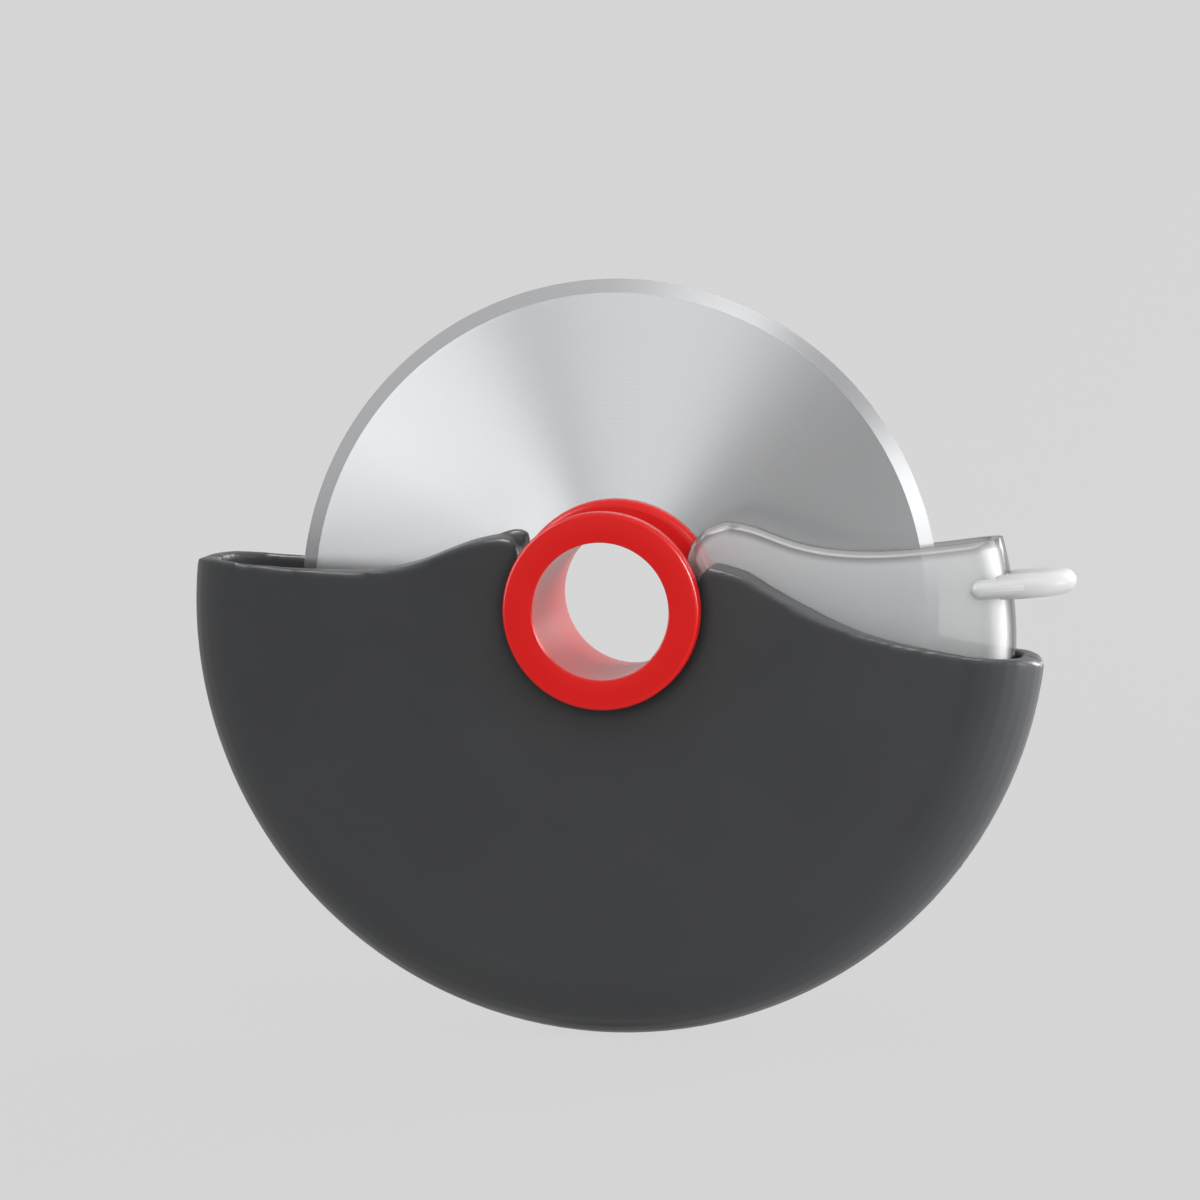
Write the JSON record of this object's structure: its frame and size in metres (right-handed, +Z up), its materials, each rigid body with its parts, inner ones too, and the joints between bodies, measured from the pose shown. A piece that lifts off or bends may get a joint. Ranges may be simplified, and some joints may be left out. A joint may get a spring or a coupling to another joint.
{
  "type": "palm pizza wheel",
  "caption": "Palm-held pizza wheel: a disc blade on a hollow hub in a half-disc grip, with a clear guard that swings over the cutting edge.",
  "frame": {"origin": "on the hub's axis, in the middle plane of the blade", "axes": "+Y along the hub's axis, away from the front ring; +Z up, from the grip towards the exposed blade; +X to the right, towards the guard's tab, seen from the front"},
  "size_m": [0.1101, 0.028, 0.0939],
  "materials": {
    "housing_plastic": "charcoal moulded plastic, fine satin texture",
    "saddle_plastic": "dark moulded bearing plastic",
    "blade_steel": "stainless steel, brushed in circles, bright ground bevel",
    "hub_plastic": "glossy red moulded plastic",
    "pin_steel": "plain drawn steel",
    "guard_plastic": "clear moulded plastic, faintly grey",
    "tab_plastic": "milky translucent plastic"
  },
  "bodies": {
    "housing": {"housing_front": "housing_plastic", "housing_back": "housing_plastic", "saddle_front": "saddle_plastic", "saddle_back": "saddle_plastic"},
    "wheel": {"blade": "blade_steel", "hub_front": "hub_plastic", "hub_back": "hub_plastic", "hub_pins": "pin_steel"},
    "guard": {"guard_shell": "guard_plastic", "guard_tab": "tab_plastic"}
  },
  "joints": [
    {"name": "wheel_spin", "type": "hinge", "parent": "housing", "child": "wheel", "pos_m": [0, 0, 0], "axis": [0, 1, 0], "continuous": true},
    {"name": "guard_swing", "type": "hinge", "parent": "housing", "child": "guard", "pos_m": [0, 0, 0], "axis": [0, -1, 0], "range_deg": [0, 165]}
  ]
}
